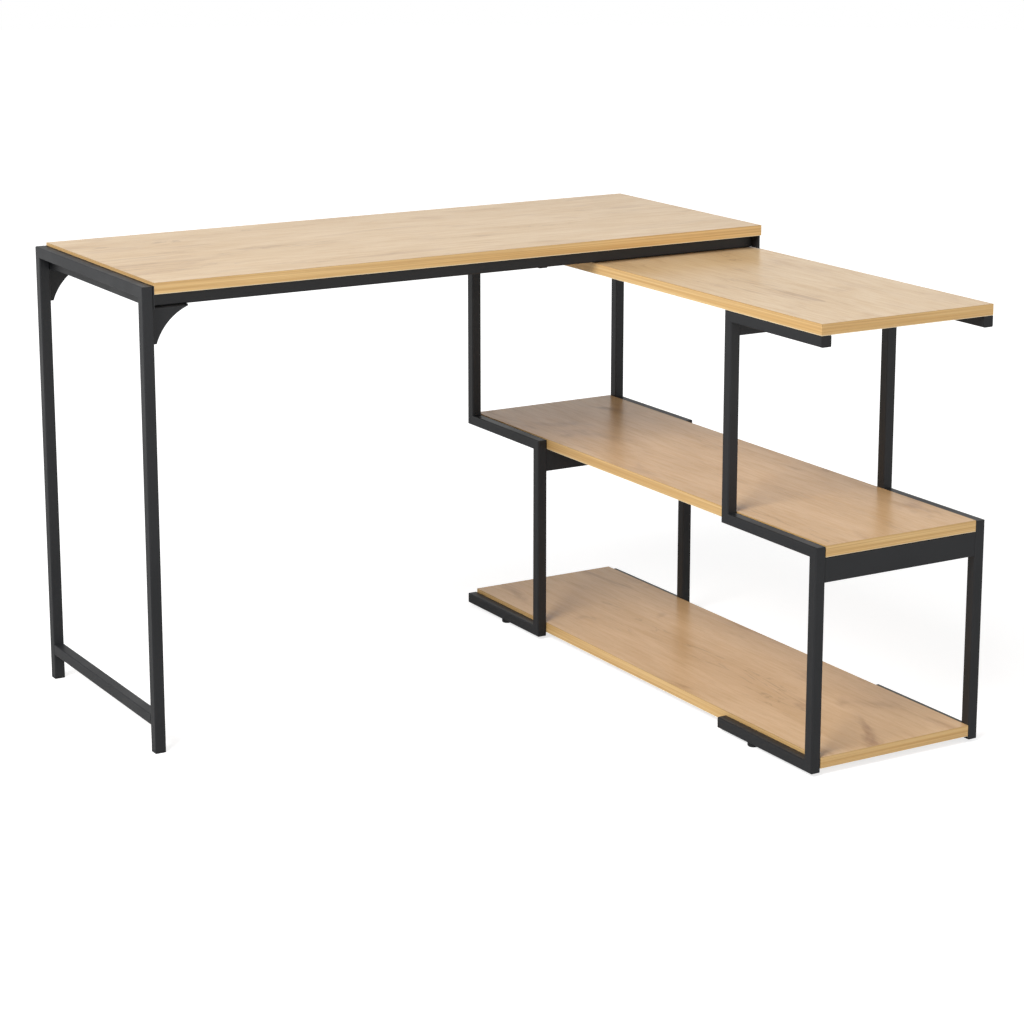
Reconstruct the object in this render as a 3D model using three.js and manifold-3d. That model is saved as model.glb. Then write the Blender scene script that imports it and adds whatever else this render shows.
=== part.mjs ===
// A corner desk: a desk wing on one pair of legs, and a long open shelf unit that carries the wing's other end.
// The wing turns on a bolt through the shelf unit's top board, so the desk stands as an L to either side,
// in line with the shelf unit, or folded over it.
//
// Millimetres. X runs along the wing from its legs, Y away from the person who sits at it, Z up.
import * as THREE from "three";
import { mergeVertices } from "three/addons/utils/BufferGeometryUtils.js";
import Module from "manifold-3d";

const wasm = await Module();
wasm.setup();

// Driving sizes of the desk wing
const DESK_LENGTH = 1150;
const DESK_DEPTH = 450;
const DESK_HEIGHT = 750;
const BOARD_ABOVE_LEGS = 5;
const STRETCHER_UNDERSIDE = 43;
const RAIL_HEIGHT = 22;
const RAIL_WIDTH = 20;
const RAIL_SETBACK = 20;
const JOINING_PLATE = 2;
const END_PLATE = 3;
const END_OVERHANG = 3;

// Driving sizes of the shelf unit
const SHELF_LENGTH = 1060;
const SHELF_WIDTH = 328;
const SHELF_BEHIND_DESK = 0;
const FRAME_REACH = 250;
const MIDDLE_SHELF_HEIGHT = 367;
const MIDDLE_BOARD_PROUD = 1;
const BOTTOM_BOARD_PROUD = 6;
const BOARD_SIDE_GAP = 0.5;

// Stock that the pieces are made from
const BOARD = 18;
const EDGE_BAND = 1;
const TUBE = 18;
const TUBE_WALL = 1.5;
const TUBE_CORNER = 2;
const SHEET = 2.5;
const FOLD_RADIUS = 1.5;

// Gusset brackets between the legs and the rails. Each stands back from its own leg's front face by the recess.
const GUSSET_LENGTH = 64;
const GUSSET_DROP = 58;
const GUSSET_TIP = 10;
const GUSSET_ARC = 90;
const GUSSET_RECESS = 15;

// Cross plates between the step frames, and the flat bars under the bottom board
const PLATE_HEIGHT = 40;
const PLATE_FLANGE = 16;
const PLATE_RECESS = 1;
const BAR_WIDTH = 40;
const BAR_THICKNESS = 3;

// Feet and tube plugs
const GLIDE_HEIGHT = 6;
const GLIDE_RADIUS = 9;
const GLIDE_EDGE = 1.5;
const GLIDE_STEM_RADIUS = 4;
const GLIDE_STEM = 9;
const FRONT_GLIDE_FROM_BACK = 86;
const BACK_GLIDE_FROM_BACK = 126;
const FOOT_PLUG = 4;
const END_PLUG = 2;
const PLUG_STUB = 14;

// The pivot under the wing's free end
const RUNNING_GAP = 1;
const DISC_THICKNESS = 3;
const DISC_RADIUS = 60;
const CHANNEL_WIDTH = 80;
const BOLT_RADIUS = 5;
const BOLT_HEAD_HEIGHT = 6.5;
const BOLT_FLATS = 17;
const BOLT_PAST_NUT = 3;
const NUT_HEIGHT = 8;
const WASHER_RADIUS = 15;
const WASHER_THICKNESS = 2;
const BUSH_WALL = 2;
const BACKING_SIZE = 120;
const BACKING_THICKNESS = 3;
const BACKING_CORNER = 8;
const BACKING_SCREW_SPACING = 90;

// Screws into the boards, and the bolts that draw the rails down on the gusset brackets
const SCREW_RADIUS = 2;
const SCREW_LENGTH = 15;
const SCREW_HEAD_RADIUS = 4.25;
const SCREW_HEAD_HEIGHT = 2.5;
const DESK_SCREW_FROM_END = 110;
const ACCESS_HOLE_RADIUS = 5.5;
const BRACKET_BOLT_RADIUS = 3;
const BRACKET_BOLT_FLATS = 10;
const BRACKET_BOLT_HEAD = 4;
const BRACKET_BOLT_LENGTH = 12;
const BRACKET_BOLT_FROM_LEG = 34;

// Clearances, cutting overruns and facets
const HOLE_CLEARANCE = 0.2;
const RUNNING_CLEARANCE = 0.08;
const PLUG_CLEARANCE = 0.2;
const OVERRUN = 5;
const MERGE_TOLERANCE = 1e-4;
const ROUND_SIDES = 32;
const SMALL_SIDES = 16;
const CORNER_STEPS = 3;
const ARC_STEPS = 16;
const HEXAGON = 6;

// Heights
const boardUnderside = DESK_HEIGHT - BOARD;
const railUnderside = boardUnderside - RAIL_HEIGHT;
const legTop = DESK_HEIGHT - BOARD_ABOVE_LEGS;
const shelfTop = railUnderside - RUNNING_GAP;
const channelUnderside = shelfTop + DISC_THICKNESS;
const frameTop = shelfTop - BOARD;
const middleBoardUnderside = MIDDLE_SHELF_HEIGHT - BOARD;
const middleRailTop = MIDDLE_SHELF_HEIGHT - MIDDLE_BOARD_PROUD;
const frameUnderside = GLIDE_HEIGHT;
const bottomShelfTop = frameUnderside + TUBE + BOTTOM_BOARD_PROUD;
const bottomBoardUnderside = bottomShelfTop - BOARD;

// Places in plan
const boardLeft = TUBE + JOINING_PLATE;
const endPlateInner = DESK_LENGTH - END_OVERHANG - END_PLATE;
const railInset = RAIL_SETBACK + RAIL_WIDTH;
const pivotX = DESK_LENGTH - SHELF_WIDTH / 2;
const pivotY = DESK_DEPTH / 2;
const shelfNear = pivotX - SHELF_WIDTH / 2;
const shelfFar = shelfNear + SHELF_WIDTH;
const shelfBack = DESK_DEPTH + SHELF_BEHIND_DESK;
const shelfFront = shelfBack - SHELF_LENGTH;
const shelfMiddleY = (shelfBack + shelfFront) / 2;
const frameInnerWidth = SHELF_WIDTH - 2 * TUBE;

const finishes = {
  oakBoard: new THREE.MeshStandardMaterial({ color: 0xdac4a6, roughness: 0.45, metalness: 0 }),
  edgeBand: new THREE.MeshStandardMaterial({ color: 0xc8a06a, roughness: 0.5, metalness: 0 }),
  powderCoat: new THREE.MeshStandardMaterial({ color: 0x303235, roughness: 0.6, metalness: 0.2 }),
  blackPlastic: new THREE.MeshStandardMaterial({ color: 0x1c1c1d, roughness: 0.7, metalness: 0 }),
  nylon: new THREE.MeshStandardMaterial({ color: 0xe6e3da, roughness: 0.5, metalness: 0 }),
  zinc: new THREE.MeshStandardMaterial({ color: 0xb8babc, roughness: 0.35, metalness: 0.9 }),
};

// Booleans on closed geometries

function solidOf(geometry) {
  const bare = geometry.clone();
  bare.deleteAttribute("normal");
  bare.deleteAttribute("uv");
  const merged = mergeVertices(bare, MERGE_TOLERANCE);
  return new wasm.Manifold(
    new wasm.Mesh({
      numProp: 3,
      vertProperties: merged.getAttribute("position").array,
      triVerts: new Uint32Array(merged.index.array),
    }),
  );
}

function geometryOf(solid) {
  const mesh = solid.getMesh();
  return new THREE.BufferGeometry()
    .setAttribute("position", new THREE.BufferAttribute(mesh.vertProperties, mesh.numProp))
    .setIndex(new THREE.BufferAttribute(mesh.triVerts, 1));
}

function cut(body, ...tools) {
  return geometryOf(tools.reduce((rest, tool) => rest.subtract(solidOf(tool)), solidOf(body)));
}

function join(body, ...others) {
  return geometryOf(others.reduce((whole, other) => whole.add(solidOf(other)), solidOf(body)));
}

function common(body, other) {
  return geometryOf(solidOf(body).intersect(solidOf(other)));
}

// Outlines and stock

const axisX = new THREE.Vector3(1, 0, 0);
const axisY = new THREE.Vector3(0, 1, 0);
const axisZ = new THREE.Vector3(0, 0, 1);
const quarterTurn = Math.PI / 2;

// Takes what is drawn in X and Y, with its depth along Z, to a drawing in Y and Z with its depth along X.
function drawnInYZ(geometry) {
  return geometry.applyMatrix4(new THREE.Matrix4().makeBasis(axisY, axisZ, axisX));
}

// The same to a drawing in X and Z. Its depth runs along Y towards the person at the desk.
function drawnInXZ(geometry) {
  return geometry.applyMatrix4(new THREE.Matrix4().makeBasis(axisX, axisZ, axisY.clone().negate()));
}

function outline(points) {
  return new THREE.Shape(points.map(([x, y]) => new THREE.Vector2(x, y)));
}

function rectangle(width, height) {
  const x = width / 2;
  const y = height / 2;
  return outline([[-x, -y], [x, -y], [x, y], [-x, y]]);
}

function roundedRectangle(width, height, radius) {
  const x = width / 2 - radius;
  const y = height / 2 - radius;
  return new THREE.Shape()
    .absarc(x, y, radius, 0, quarterTurn)
    .absarc(-x, y, radius, quarterTurn, 2 * quarterTurn)
    .absarc(-x, -y, radius, 2 * quarterTurn, 3 * quarterTurn)
    .absarc(x, -y, radius, 3 * quarterTurn, 4 * quarterTurn);
}

function extruded(shape, depth) {
  return new THREE.ExtrudeGeometry(shape, { depth, bevelEnabled: false, curveSegments: CORNER_STEPS });
}

function block(x0, x1, y0, y1, z0, z1) {
  const middle = [(x0 + x1) / 2, (y0 + y1) / 2, (z0 + z1) / 2];
  return new THREE.BoxGeometry(x1 - x0, y1 - y0, z1 - z0).translate(...middle);
}

// A round solid on the Z axis, from pairs of radius and height that start and end on the axis
// or close on themselves.
function turned(profile, sides) {
  const points = profile.map(([radius, height]) => new THREE.Vector2(radius, height));
  return new THREE.LatheGeometry(points, sides).rotateX(quarterTurn);
}

function rod(radius, z0, z1, sides) {
  return turned([[0, z0], [radius, z0], [radius, z1], [0, z1]], sides);
}

function ring(inner, outer, z0, z1, sides) {
  return turned([[inner, z0], [outer, z0], [outer, z1], [inner, z1], [inner, z0]], sides);
}

function hexagonBar(flats, z0, z1) {
  return rod(flats / 2 / Math.cos(Math.PI / HEXAGON), z0, z1, HEXAGON);
}

// A tube along +Z from its own origin, open at both ends.
function tube(width, depth, length) {
  const section = roundedRectangle(width, depth, TUBE_CORNER);
  const boreCorner = TUBE_CORNER - TUBE_WALL / 2;
  section.holes.push(roundedRectangle(width - 2 * TUBE_WALL, depth - 2 * TUBE_WALL, boreCorner));
  return extruded(section, length);
}

// What a 45 degree cut takes off a square tube whose short side is at +Y.
// It is cut at a height, and the waste lies above it or, with direction -1, below it.
function mitreWaste(height, direction) {
  const reach = TUBE / 2 + OVERRUN;
  const waste = outline([
    [-reach, height + direction * OVERRUN],
    [reach, height - direction * (TUBE + OVERRUN)],
    [reach, height + direction * OVERRUN],
  ]);
  return drawnInYZ(extruded(waste, 2 * reach)).translate(-reach, 0, 0);
}

// A sheet folded once and running along X: a web that hangs from the fold at the origin,
// and a flange that reaches back from it along +Y, or along -Y with side -1.
function foldedSheet(length, height, flange, side) {
  const outer = FOLD_RADIUS + SHEET;
  const profile = new THREE.Shape()
    .moveTo(0, -height)
    .lineTo(0, -outer)
    .absarc(outer, -outer, outer, Math.PI, quarterTurn, true)
    .lineTo(flange, 0)
    .lineTo(flange, -SHEET)
    .lineTo(outer, -SHEET)
    .absarc(outer, -outer, FOLD_RADIUS, quarterTurn, Math.PI, false)
    .lineTo(SHEET, -height);
  const corners = profile.getPoints(CORNER_STEPS).map(({ x, y }) => [side * x, y]);
  return drawnInYZ(extruded(outline(corners), length));
}

// The scene graph: the wing turns about the pivot, and the shelf unit stands still

const cornerDesk = new THREE.Group();
const deskWing = new THREE.Group();
const shelfUnit = new THREE.Group();
cornerDesk.add(deskWing, shelfUnit);
cornerDesk.position.set(-DESK_LENGTH / 2, -shelfMiddleY, 0);

function place(group, name, geometry, material, x, y, z) {
  const mesh = new THREE.Mesh(geometry, material);
  mesh.name = name;
  mesh.position.set(x, y, z);
  group.add(mesh);
  return mesh;
}

// Boards: a laminated core and the band round its four edges, both centred on their own origin

function boardCore(length, width) {
  return new THREE.BoxGeometry(length - 2 * EDGE_BAND, width - 2 * EDGE_BAND, BOARD);
}

function boardBand(length, width) {
  const band = rectangle(length, width);
  band.holes.push(rectangle(length - 2 * EDGE_BAND, width - 2 * EDGE_BAND));
  return extruded(band, BOARD).translate(0, 0, -BOARD / 2);
}

// The hole for a screw that comes up from below, in a core's own frame.
function screwPocket(x, y) {
  const depth = SCREW_LENGTH + HOLE_CLEARANCE;
  return rod(SCREW_RADIUS + HOLE_CLEARANCE, -BOARD / 2 - OVERRUN, depth - BOARD / 2, SMALL_SIDES).translate(x, y, 0);
}

// A screw that stands on its head at the origin.
function boardScrew(grip) {
  const head = rod(SCREW_HEAD_RADIUS, -SCREW_HEAD_HEIGHT, 0, SMALL_SIDES);
  return join(head, rod(SCREW_RADIUS, -SCREW_HEAD_HEIGHT / 2, grip, SMALL_SIDES));
}

// Desk wing: board

const deskBoardLength = DESK_LENGTH - boardLeft;
const deskBoardMiddle = boardLeft + deskBoardLength / 2;
const railMiddles = [RAIL_SETBACK + RAIL_WIDTH / 2, DESK_DEPTH - RAIL_SETBACK - RAIL_WIDTH / 2];
const deskScrewPlaces = railMiddles.flatMap((y) => [
  [boardLeft + DESK_SCREW_FROM_END, y],
  [DESK_LENGTH - DESK_SCREW_FROM_END, y],
]);

function addDeskBoard() {
  const pockets = deskScrewPlaces.map(([x, y]) => screwPocket(x - deskBoardMiddle, y - DESK_DEPTH / 2));
  const core = cut(boardCore(deskBoardLength, DESK_DEPTH), ...pockets);
  const at = [deskBoardMiddle, DESK_DEPTH / 2, boardUnderside + BOARD / 2];
  place(deskWing, "desk_board", core, finishes.oakBoard, ...at);
  place(deskWing, "desk_edge_band", boardBand(deskBoardLength, DESK_DEPTH), finishes.edgeBand, ...at);
  deskScrewPlaces.forEach(([x, y], index) => {
    const screw = boardScrew(TUBE_WALL + SCREW_LENGTH);
    place(deskWing, `desk_board_screw_${index + 1}`, screw, finishes.zinc, x, y, boardUnderside - TUBE_WALL);
  });
}

// Desk wing: leg frame, of two legs, an end rail mitred to their tops and a stretcher between them

// A plug for a tube's open end, with its flange on the origin and its stub along +Z.
function tubePlug(flange) {
  const bore = TUBE - 2 * (TUBE_WALL + PLUG_CLEARANCE);
  const stub = roundedRectangle(bore, bore, TUBE_CORNER - TUBE_WALL / 2);
  return join(
    extruded(roundedRectangle(TUBE, TUBE, TUBE_CORNER), flange),
    extruded(stub, flange + PLUG_STUB),
  );
}

function addLegFrame() {
  const half = TUBE / 2;
  const legLength = legTop - FOOT_PLUG;
  const leg = cut(tube(TUBE, TUBE, legLength), mitreWaste(legLength, 1));
  place(deskWing, "front_leg", leg, finishes.powderCoat, half, half, FOOT_PLUG);
  const backLeg = place(deskWing, "back_leg", leg, finishes.powderCoat, half, DESK_DEPTH - half, FOOT_PLUG);
  backLeg.rotation.z = Math.PI;

  const endRail = cut(tube(TUBE, TUBE, DESK_DEPTH), mitreWaste(DESK_DEPTH, 1), mitreWaste(0, -1));
  endRail.rotateX(-quarterTurn);
  place(deskWing, "leg_end_rail", endRail, finishes.powderCoat, half, 0, legTop - half);

  const stretcher = tube(TUBE, TUBE, DESK_DEPTH - 2 * TUBE).rotateX(-quarterTurn);
  place(deskWing, "leg_stretcher", stretcher, finishes.powderCoat, half, TUBE, STRETCHER_UNDERSIDE + half);

  place(deskWing, "front_foot_plug", tubePlug(FOOT_PLUG), finishes.blackPlastic, half, half, 0);
  place(deskWing, "back_foot_plug", tubePlug(FOOT_PLUG), finishes.blackPlastic, half, DESK_DEPTH - half, 0);
}

// Desk wing: two rails between the joining plate at the legs and the end plate over the shelf unit

function addRails() {
  const length = endPlateInner - boardLeft;
  const wallHole = (radius, x, z0, z1) => rod(radius, z0, z1, SMALL_SIDES).translate(x, 0, 0);
  const floor = -RAIL_HEIGHT / 2;
  const holes = [boardLeft + DESK_SCREW_FROM_END, DESK_LENGTH - DESK_SCREW_FROM_END].flatMap((x) => [
    wallHole(ACCESS_HOLE_RADIUS, x - boardLeft, floor - OVERRUN, floor + OVERRUN),
    wallHole(SCREW_RADIUS + HOLE_CLEARANCE, x - boardLeft, 0, RAIL_HEIGHT),
  ]);
  const bracketHole = wallHole(
    BRACKET_BOLT_RADIUS + HOLE_CLEARANCE,
    TUBE + BRACKET_BOLT_FROM_LEG - boardLeft,
    floor - OVERRUN,
    floor + OVERRUN,
  );
  const rail = cut(tube(RAIL_HEIGHT, RAIL_WIDTH, length).rotateY(quarterTurn), ...holes, bracketHole);
  const [frontY, backY] = railMiddles;
  const z = railUnderside + RAIL_HEIGHT / 2;
  place(deskWing, "front_rail", rail, finishes.powderCoat, boardLeft, frontY, z);
  place(deskWing, "back_rail", rail, finishes.powderCoat, boardLeft, backY, z);

  const joining = block(TUBE, boardLeft, 0, DESK_DEPTH, railUnderside, legTop);
  place(deskWing, "joining_plate", joining, finishes.powderCoat, 0, 0, 0);
  const end = block(endPlateInner, endPlateInner + END_PLATE, 0, DESK_DEPTH, railUnderside, boardUnderside);
  place(deskWing, "end_plate", end, finishes.powderCoat, 0, 0, 0);
}

// Desk wing: gusset brackets. Each web is welded to its leg, and its flange lies under the rail.

// The flat outline of the web, with the hollow arc between its two tips.
function gussetOutline() {
  const low = new THREE.Vector2(GUSSET_TIP, -GUSSET_DROP);
  const high = new THREE.Vector2(GUSSET_LENGTH, -SHEET);
  const chord = high.clone().sub(low);
  const halfChord = chord.length() / 2;
  const outward = new THREE.Vector2(chord.y, -chord.x).normalize();
  const centre = low.clone().add(high).divideScalar(2);
  centre.addScaledVector(outward, Math.sqrt(GUSSET_ARC ** 2 - halfChord ** 2));
  const first = low.clone().sub(centre).angle();
  const last = high.clone().sub(centre).angle();
  const shape = new THREE.Shape().moveTo(0, -GUSSET_DROP).lineTo(low.x, low.y);
  for (let step = 1; step <= ARC_STEPS; step += 1) {
    const angle = first + ((last - first) * step) / ARC_STEPS;
    shape.lineTo(centre.x + GUSSET_ARC * Math.cos(angle), centre.y + GUSSET_ARC * Math.sin(angle));
  }
  return shape.lineTo(GUSSET_LENGTH, OVERRUN).lineTo(0, OVERRUN);
}

function gusset(flange, side) {
  const sheet = foldedSheet(GUSSET_LENGTH, GUSSET_DROP, flange, side);
  const depth = flange + 2 * OVERRUN;
  const blank = drawnInXZ(extruded(gussetOutline(), depth)).translate(0, (depth + side * flange) / 2, 0);
  return common(sheet, blank);
}

function addGussets() {
  const backWeb = DESK_DEPTH - TUBE + GUSSET_RECESS + SHEET;
  const gussets = [
    { name: "front", web: GUSSET_RECESS, flange: railInset - GUSSET_RECESS, side: 1, rail: railMiddles[0] },
    { name: "back", web: backWeb, flange: backWeb - (DESK_DEPTH - railInset), side: -1, rail: railMiddles[1] },
  ];
  for (const { name, web, flange, side, rail } of gussets) {
    const hole = rod(BRACKET_BOLT_RADIUS + HOLE_CLEARANCE, -SHEET - OVERRUN, OVERRUN, SMALL_SIDES);
    hole.translate(BRACKET_BOLT_FROM_LEG, rail - web, 0);
    place(deskWing, `${name}_gusset`, cut(gusset(flange, side), hole), finishes.powderCoat, TUBE, web, railUnderside);
    const bolt = join(
      hexagonBar(BRACKET_BOLT_FLATS, -BRACKET_BOLT_HEAD, 0),
      rod(BRACKET_BOLT_RADIUS, -BRACKET_BOLT_HEAD / 2, BRACKET_BOLT_LENGTH, SMALL_SIDES),
    );
    const boltAt = [TUBE + BRACKET_BOLT_FROM_LEG, rail, railUnderside - SHEET];
    place(deskWing, `${name}_bracket_bolt`, bolt, finishes.zinc, ...boltAt);
  }
}

// The pivot: a channel between the rails carries the bolt's head, a nylon disc bears the wing on the shelf
// unit's top board, and the bolt runs down through a bush, a backing plate and a washer to its nut

const backingUnderside = frameTop - BACKING_THICKNESS;
const washerUnderside = backingUnderside - WASHER_THICKNESS;
const nutUnderside = washerUnderside - NUT_HEIGHT;
const boltClearRadius = BOLT_RADIUS + RUNNING_CLEARANCE;
const bushRadius = boltClearRadius + BUSH_WALL;
const backingOffsets = [-1, 1].map((side) => (side * BACKING_SCREW_SPACING) / 2);
const backingScrewPlaces = backingOffsets.flatMap((x) => backingOffsets.map((y) => [x, y]));

function pivotChannel() {
  const half = CHANNEL_WIDTH / 2;
  const height = boardUnderside - channelUnderside;
  const length = DESK_DEPTH - 2 * railInset;
  const section = outline([
    [-half, height],
    [-half, 0],
    [half, 0],
    [half, height],
    [half - SHEET, height],
    [half - SHEET, SHEET],
    [SHEET - half, SHEET],
    [SHEET - half, height],
  ]);
  const channel = drawnInXZ(extruded(section, length)).translate(0, length / 2, 0);
  return cut(channel, rod(boltClearRadius, -OVERRUN, SHEET + OVERRUN, ROUND_SIDES));
}

function pivotBolt() {
  const seat = channelUnderside + SHEET;
  return join(
    hexagonBar(BOLT_FLATS, seat, seat + BOLT_HEAD_HEIGHT),
    rod(BOLT_RADIUS, nutUnderside - BOLT_PAST_NUT, seat + BOLT_HEAD_HEIGHT / 2, ROUND_SIDES),
  );
}

function backingPlate() {
  const plate = extruded(roundedRectangle(BACKING_SIZE, BACKING_SIZE, BACKING_CORNER), BACKING_THICKNESS);
  const screwHoles = backingScrewPlaces.map(([x, y]) =>
    rod(SCREW_RADIUS + HOLE_CLEARANCE, -OVERRUN, OVERRUN, SMALL_SIDES).translate(x, y, 0),
  );
  return cut(plate, rod(boltClearRadius, -OVERRUN, OVERRUN, ROUND_SIDES), ...screwHoles);
}

function addPivot() {
  const onPivot = (group, name, geometry, material, z) => place(group, name, geometry, material, pivotX, pivotY, z);
  onPivot(deskWing, "pivot_channel", pivotChannel(), finishes.powderCoat, channelUnderside);
  onPivot(deskWing, "pivot_bolt", pivotBolt(), finishes.zinc, 0);
  const washer = ring(boltClearRadius, WASHER_RADIUS, washerUnderside, backingUnderside, ROUND_SIDES);
  onPivot(deskWing, "pivot_washer", washer, finishes.zinc, 0);
  const nut = cut(
    hexagonBar(BOLT_FLATS, nutUnderside, washerUnderside),
    rod(boltClearRadius, nutUnderside - OVERRUN, washerUnderside + OVERRUN, ROUND_SIDES),
  );
  onPivot(deskWing, "pivot_nut", nut, finishes.zinc, 0);

  const disc = ring(boltClearRadius, DISC_RADIUS, shelfTop, channelUnderside, ROUND_SIDES);
  onPivot(shelfUnit, "turning_disc", disc, finishes.nylon, 0);
  const bush = ring(boltClearRadius, bushRadius, frameTop, shelfTop, ROUND_SIDES);
  onPivot(shelfUnit, "pivot_bush", bush, finishes.nylon, 0);
  onPivot(shelfUnit, "backing_plate", backingPlate(), finishes.powderCoat, backingUnderside);
  backingScrewPlaces.forEach(([x, y], index) => {
    const screw = boardScrew(BACKING_THICKNESS + SCREW_LENGTH - HOLE_CLEARANCE);
    const at = [pivotX + x, pivotY + y, backingUnderside];
    place(shelfUnit, `backing_screw_${index + 1}`, screw, finishes.zinc, ...at);
  });
}

// Shelf unit: four step frames of square tube. From its front end a top rail runs back to the upper post,
// the post drops to a middle rail that runs forward, the lower post drops from there, and a bottom rail runs back.

// The side view in Y and Z, from the frame's back end at zero. An inset draws the bore instead of the outside.
function stepOutline(inset, past) {
  const front = -FRAME_REACH;
  const lowerPostBack = front + TUBE;
  return outline([
    [front - past, frameTop - inset],
    [-inset, frameTop - inset],
    [-inset, middleRailTop - TUBE + inset],
    [lowerPostBack - inset, middleRailTop - TUBE + inset],
    [lowerPostBack - inset, frameUnderside + TUBE - inset],
    [past, frameUnderside + TUBE - inset],
    [past, frameUnderside + inset],
    [front + inset, frameUnderside + inset],
    [front + inset, middleRailTop - inset],
    [inset - TUBE, middleRailTop - inset],
    [inset - TUBE, frameTop - TUBE + inset],
    [front - past, frameTop - TUBE + inset],
  ]);
}

function stepFrame(glideFromBack) {
  const outside = drawnInYZ(
    new THREE.ExtrudeGeometry(stepOutline(0, OVERRUN), {
      depth: TUBE - 2 * TUBE_CORNER,
      bevelThickness: TUBE_CORNER,
      bevelSize: TUBE_CORNER,
      bevelOffset: -TUBE_CORNER,
      bevelSegments: CORNER_STEPS,
    }),
  ).translate(TUBE_CORNER, 0, 0);
  const boreWidth = TUBE - 2 * TUBE_WALL;
  const bore = drawnInYZ(extruded(stepOutline(TUBE_WALL, 2 * OVERRUN), boreWidth)).translate(TUBE_WALL, 0, 0);
  const across = [-OVERRUN, TUBE + OVERRUN];
  const frontEnd = [-FRAME_REACH - 2 * OVERRUN, END_PLUG - FRAME_REACH];
  const frontWaste = block(...across, ...frontEnd, frameTop - TUBE - OVERRUN, frameTop + OVERRUN);
  const backEnd = [-END_PLUG, 2 * OVERRUN];
  const backWaste = block(...across, ...backEnd, frameUnderside - OVERRUN, frameUnderside + TUBE + OVERRUN);
  const stemHole = rod(
    GLIDE_STEM_RADIUS + HOLE_CLEARANCE,
    frameUnderside - OVERRUN,
    frameUnderside + TUBE / 2,
    SMALL_SIDES,
  ).translate(TUBE / 2, -glideFromBack, 0);
  return cut(outside, bore, frontWaste, backWaste, stemHole);
}

function glide() {
  return turned(
    [
      [0, 0],
      [GLIDE_RADIUS - GLIDE_EDGE, 0],
      [GLIDE_RADIUS, GLIDE_EDGE],
      [GLIDE_RADIUS, GLIDE_HEIGHT],
      [GLIDE_STEM_RADIUS, GLIDE_HEIGHT],
      [GLIDE_STEM_RADIUS, GLIDE_HEIGHT + GLIDE_STEM],
      [0, GLIDE_HEIGHT + GLIDE_STEM],
    ],
    ROUND_SIDES,
  );
}

const framePairs = [
  { pair: "front", back: shelfFront + FRAME_REACH, glideFromBack: FRONT_GLIDE_FROM_BACK },
  { pair: "back", back: shelfBack, glideFromBack: BACK_GLIDE_FROM_BACK },
];
const frameSides = [
  { side: "near", x: shelfNear },
  { side: "far", x: shelfFar - TUBE },
];

function addStepFrames() {
  const half = TUBE / 2;
  for (const { pair, back, glideFromBack } of framePairs) {
    const frame = stepFrame(glideFromBack);
    for (const { side, x } of frameSides) {
      const name = `${side}_${pair}`;
      place(shelfUnit, `${name}_step_frame`, frame, finishes.powderCoat, x, back, 0);
      place(shelfUnit, `${name}_glide`, glide(), finishes.blackPlastic, x + half, back - glideFromBack, 0);
      const topPlug = tubePlug(END_PLUG).rotateX(-quarterTurn);
      const topAt = [x + half, back - FRAME_REACH, frameTop - half];
      place(shelfUnit, `${name}_top_plug`, topPlug, finishes.blackPlastic, ...topAt);
      const bottomPlug = tubePlug(END_PLUG).rotateX(quarterTurn);
      const bottomAt = [x + half, back, frameUnderside + half];
      place(shelfUnit, `${name}_bottom_plug`, bottomPlug, finishes.blackPlastic, ...bottomAt);
    }
  }
}

// Shelf unit: the plates and bars that tie the near frames to the far ones and carry the boards

function addCrossPieces() {
  for (const { pair, back } of framePairs) {
    const plate = foldedSheet(frameInnerWidth, PLATE_HEIGHT, PLATE_FLANGE, 1);
    const left = shelfNear + TUBE;
    const upperY = back - TUBE + PLATE_RECESS;
    const lowerY = back - FRAME_REACH + PLATE_RECESS;
    place(shelfUnit, `${pair}_top_plate`, plate, finishes.powderCoat, left, upperY, frameTop);
    place(shelfUnit, `${pair}_middle_plate`, plate, finishes.powderCoat, left, lowerY, middleBoardUnderside);
    const barY = back - FRAME_REACH / 2;
    const bar = block(0, frameInnerWidth, -BAR_WIDTH / 2, BAR_WIDTH / 2, -BAR_THICKNESS, 0);
    place(shelfUnit, `${pair}_bottom_bar`, bar, finishes.powderCoat, left, barY, bottomBoardUnderside);
  }
}

// Shelf unit: the top board lies on the frames, and the other two lie between them

function addShelfBoards() {
  const innerWidth = frameInnerWidth - 2 * BOARD_SIDE_GAP;
  const pivotInBoard = pivotY - shelfMiddleY;
  const bushHole = rod(bushRadius + HOLE_CLEARANCE, -BOARD / 2 - OVERRUN, BOARD / 2 + OVERRUN, ROUND_SIDES);
  bushHole.translate(0, pivotInBoard, 0);
  const pockets = backingScrewPlaces.map(([x, y]) => screwPocket(x, y + pivotInBoard));
  const topCore = cut(boardCore(SHELF_WIDTH, SHELF_LENGTH), bushHole, ...pockets);
  const shelves = [
    { name: "top_shelf", width: SHELF_WIDTH, underside: frameTop, core: topCore },
    { name: "middle_shelf", width: innerWidth, underside: middleBoardUnderside },
    { name: "bottom_shelf", width: innerWidth, underside: bottomBoardUnderside },
  ];
  for (const { name, width, underside, core = boardCore(width, SHELF_LENGTH) } of shelves) {
    const at = [pivotX, shelfMiddleY, underside + BOARD / 2];
    place(shelfUnit, `${name}_board`, core, finishes.oakBoard, ...at);
    place(shelfUnit, `${name}_edge_band`, boardBand(width, SHELF_LENGTH), finishes.edgeBand, ...at);
  }
}

addDeskBoard();
addLegFrame();
addRails();
addGussets();
addPivot();
addStepFrames();
addCrossPieces();
addShelfBoards();

export default cornerDesk;
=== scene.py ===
"""Looks of a corner desk: oak boards on dark steel tube, with a wing that turns over a long shelf unit."""

from __future__ import annotations

import logging
import math
from dataclasses import dataclass
from enum import Enum

import bmesh
import bpy
from mathutils import Matrix, Vector

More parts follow.
